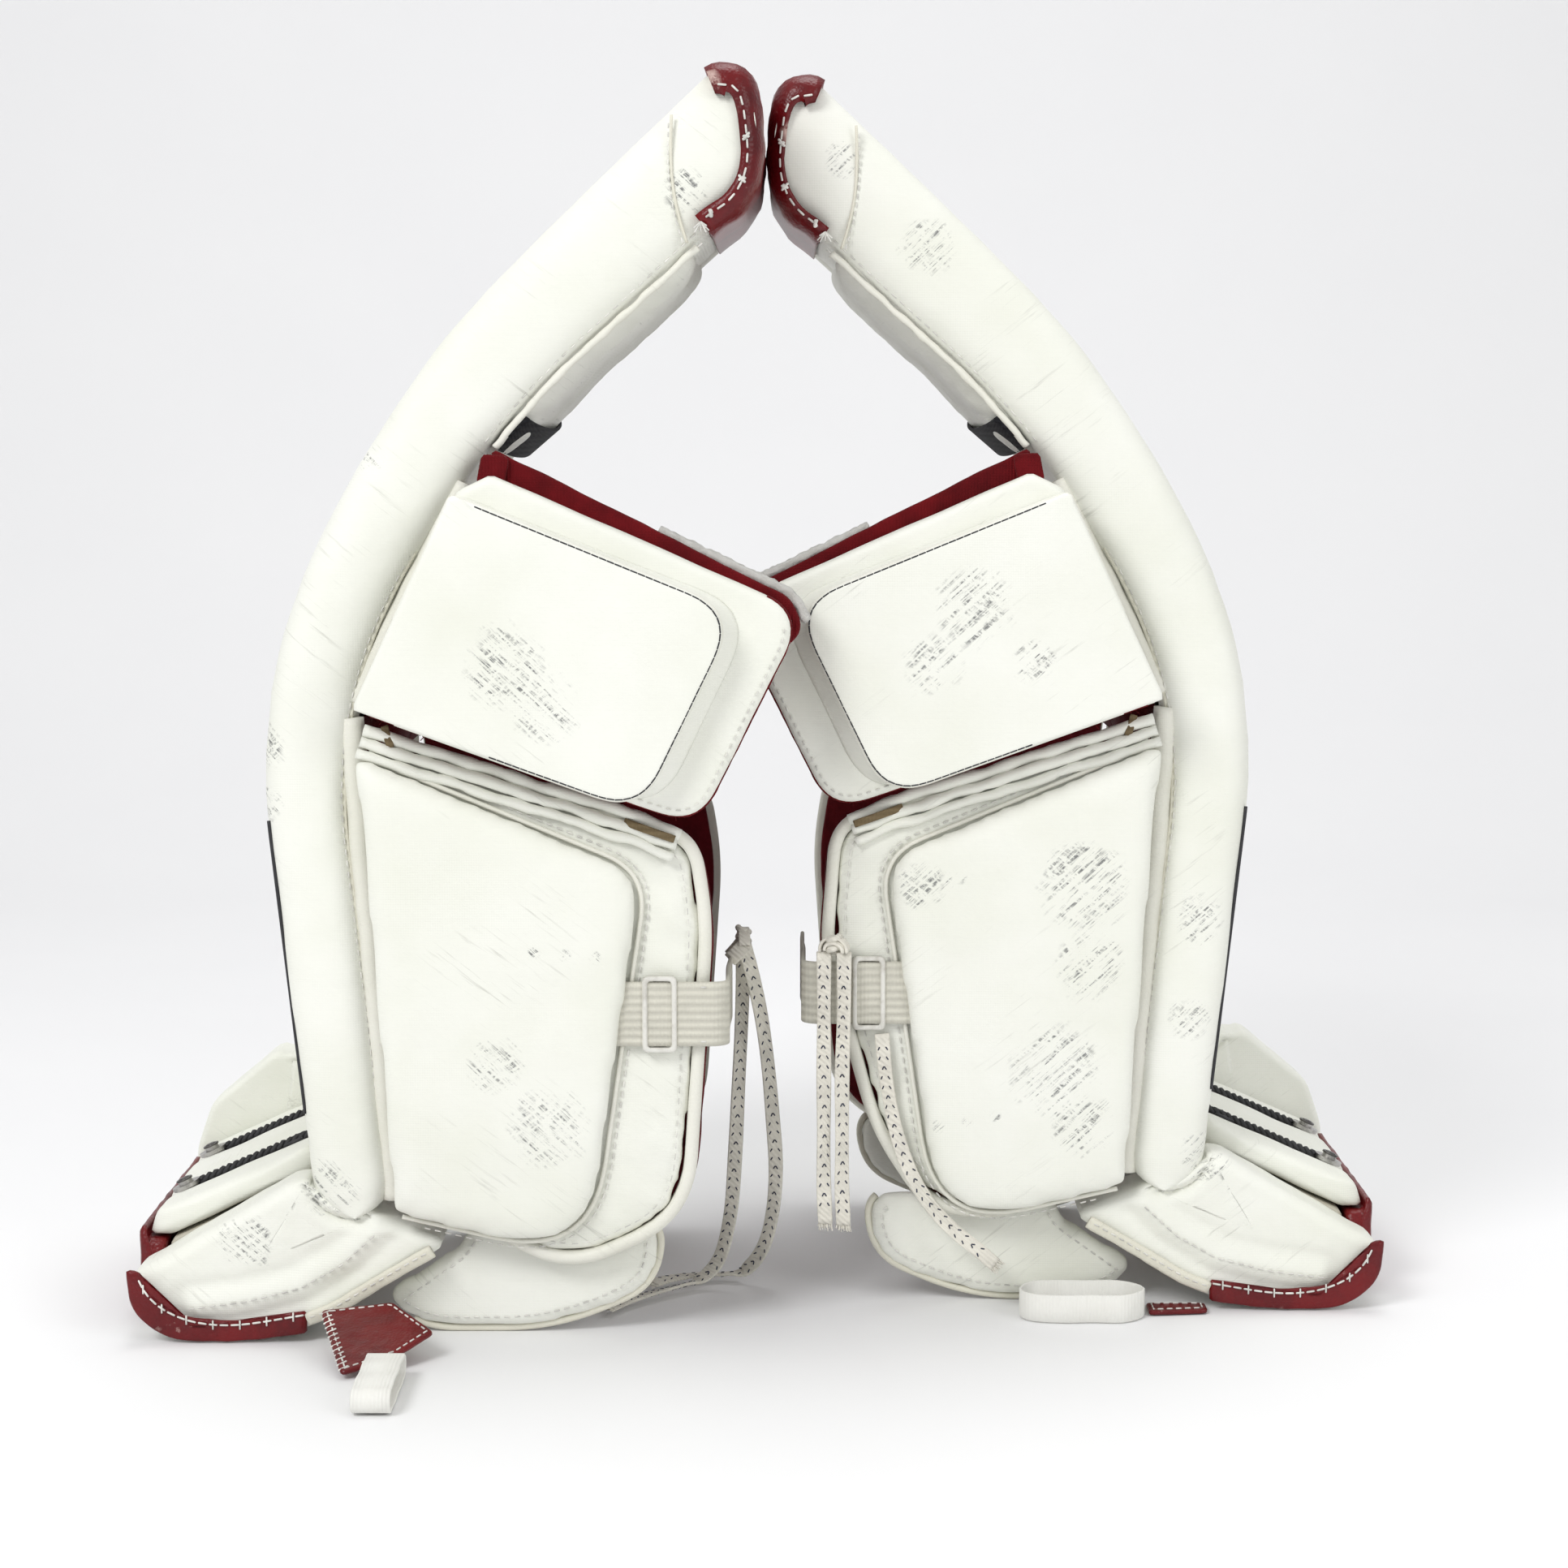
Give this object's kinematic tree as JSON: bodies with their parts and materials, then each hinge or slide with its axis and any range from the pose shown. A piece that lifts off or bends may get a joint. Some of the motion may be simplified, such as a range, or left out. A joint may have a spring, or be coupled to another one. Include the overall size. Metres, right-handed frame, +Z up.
{
  "type": "ice hockey goalie leg pads",
  "caption": "Pair of worn ice hockey goalie leg pads with knee blocks, calf wings and boots, standing and leaning together at their tops.",
  "frame": {"origin": "on the floor, under the centre of the pair's box", "axes": "+Z up; +X towards the wearer's left pad, whose playing face looks along +X; +Y towards the outer sides of the pads, away from the knee blocks"},
  "size_m": [0.753, 0.496, 0.7492],
  "materials": {
    "white_leatherette": "worn coated leatherette with a fine weave grain",
    "red_leather": "semi-gloss, worn through at the edges",
    "foam_board": "closed-cell foam",
    "liner": "quilted woven liner",
    "webbing": "ribbed webbing",
    "plastic_slide": "moulded",
    "bolt_steel": "plated",
    "elastic": "ribbed elastic",
    "lace": "woven, with dotted tracers"
  },
  "bodies": {
    "right_thigh": {"right_thigh_core": "foam_board", "right_thigh_face": "white_leatherette", "right_thigh_side_roll": "white_leatherette", "right_thigh_outer_roll": "white_leatherette", "right_thigh_back_pad": "white_leatherette", "right_thigh_binding": "red_leather"},
    "right_shin": {"right_shin_core": "foam_board", "right_shin_face": "white_leatherette", "right_shin_side_roll": "white_leatherette", "right_shin_outer_roll": "white_leatherette", "right_leg_channel": "liner"},
    "right_knee_block": {"right_knee_block": "white_leatherette", "right_knee_panel": "white_leatherette"},
    "right_calf_wing": {"right_calf_wing": "white_leatherette", "right_calf_landing": "white_leatherette", "right_calf_strap": "webbing", "right_lace_long": "lace", "right_lace_short": "lace"},
    "right_calf_slide": {"right_calf_slide": "plastic_slide"},
    "right_outer_wing": {"right_outer_wing": "white_leatherette"},
    "right_boot": {"right_boot_board": "foam_board", "right_boot_side": "white_leatherette", "right_boot_face": "white_leatherette", "right_boot_outer": "white_leatherette", "right_boot_binding": "red_leather", "right_boot_flap": "white_leatherette", "right_boot_bolts": "bolt_steel"},
    "right_toe_tab": {"right_toe_tab": "red_leather", "right_boot_loop": "elastic"},
    "left_thigh": {"left_thigh_core": "foam_board", "left_thigh_face": "white_leatherette", "left_thigh_side_roll": "white_leatherette", "left_thigh_outer_roll": "white_leatherette", "left_thigh_back_pad": "white_leatherette", "left_thigh_binding": "red_leather"},
    "left_shin": {"left_shin_core": "foam_board", "left_shin_face": "white_leatherette", "left_shin_side_roll": "white_leatherette", "left_shin_outer_roll": "white_leatherette", "left_leg_channel": "liner"},
    "left_knee_block": {"left_knee_block": "white_leatherette", "left_knee_panel": "white_leatherette"},
    "left_calf_wing": {"left_calf_wing": "white_leatherette", "left_calf_landing": "white_leatherette", "left_calf_strap": "webbing", "left_lace_long": "lace", "left_lace_short": "lace", "left_lace_edge": "lace"},
    "left_calf_slide": {"left_calf_slide": "plastic_slide"},
    "left_outer_wing": {"left_outer_wing": "white_leatherette"},
    "left_boot": {"left_boot_board": "foam_board", "left_boot_side": "white_leatherette", "left_boot_face": "white_leatherette", "left_boot_outer": "white_leatherette", "left_boot_binding": "red_leather", "left_boot_flap": "white_leatherette", "left_boot_bolts": "bolt_steel"},
    "left_toe_tab": {"left_toe_tab": "red_leather", "left_boot_loop": "elastic"}
  },
  "joints": [
    {"name": "pads_apart", "type": "slide", "parent": "right_shin", "child": "left_shin", "axis": [1, 0, 0], "range_m": [0, 0.15]},
    {"name": "right_thigh_flex", "type": "hinge", "parent": "right_shin", "child": "right_thigh", "pos_m": [-0.23948, 0.038, 0.53575], "axis": [0, -1, 0], "range_deg": [0, 12]},
    {"name": "right_boot_flex", "type": "hinge", "parent": "right_shin", "child": "right_boot", "pos_m": [-0.24364, 0.038, 0.09756], "axis": [0, 1, 0], "range_deg": [-5, 10], "stiffness_Nm_per_rad": 20},
    {"name": "right_knee_block_fold", "type": "hinge", "parent": "right_shin", "child": "right_knee_block", "pos_m": [-0.205, -0.103, 0.437], "axis": [-0.4357, 0, -0.9001], "range_deg": [0, 25], "stiffness_Nm_per_rad": 1},
    {"name": "right_calf_wing_open", "type": "hinge", "parent": "right_shin", "child": "right_calf_wing", "pos_m": [-0.228, -0.1027, 0.2135], "axis": [0.0684, 0, -0.9977], "range_deg": [0, 40], "stiffness_Nm_per_rad": 1},
    {"name": "right_outer_wing_open", "type": "hinge", "parent": "right_shin", "child": "right_outer_wing", "pos_m": [-0.228, 0.1783, 0.2135], "axis": [-0.0684, 0, 0.9977], "range_deg": [0, 40], "stiffness_Nm_per_rad": 1},
    {"name": "right_toe_tab_lift", "type": "hinge", "parent": "right_boot", "child": "right_toe_tab", "pos_m": [-0.2385, -0.1055, 0.022], "axis": [-1, 0, 0], "range_deg": [0, 15]},
    {"name": "right_slide_travel", "type": "slide", "parent": "right_calf_wing", "child": "right_calf_slide", "axis": [-1, 0, 0], "range_m": [-0.008, 0.004]},
    {"name": "left_thigh_flex", "type": "hinge", "parent": "left_shin", "child": "left_thigh", "pos_m": [0.23948, 0.108, 0.53575], "axis": [0, 1, 0], "range_deg": [0, 12]},
    {"name": "left_boot_flex", "type": "hinge", "parent": "left_shin", "child": "left_boot", "pos_m": [0.24364, 0.108, 0.09756], "axis": [0, -1, 0], "range_deg": [-5, 10], "stiffness_Nm_per_rad": 20},
    {"name": "left_knee_block_fold", "type": "hinge", "parent": "left_shin", "child": "left_knee_block", "pos_m": [0.205, -0.033, 0.437], "axis": [-0.4357, 0, 0.9001], "range_deg": [-12, 0], "stiffness_Nm_per_rad": 1},
    {"name": "left_calf_wing_open", "type": "hinge", "parent": "left_shin", "child": "left_calf_wing", "pos_m": [0.228, -0.0327, 0.2135], "axis": [0.0684, 0, 0.9977], "range_deg": [0, 40], "stiffness_Nm_per_rad": 1},
    {"name": "left_outer_wing_open", "type": "hinge", "parent": "left_shin", "child": "left_outer_wing", "pos_m": [0.228, 0.2483, 0.2135], "axis": [-0.0684, 0, -0.9977], "range_deg": [0, 40], "stiffness_Nm_per_rad": 1},
    {"name": "left_toe_tab_lift", "type": "hinge", "parent": "left_boot", "child": "left_toe_tab", "pos_m": [0.2495, -0.025, 0.0035], "axis": [-1, 0, 0], "range_deg": [0, 15]},
    {"name": "left_slide_travel", "type": "slide", "parent": "left_calf_wing", "child": "left_calf_slide", "axis": [1, 0, 0], "range_m": [-0.008, 0.004]}
  ]
}
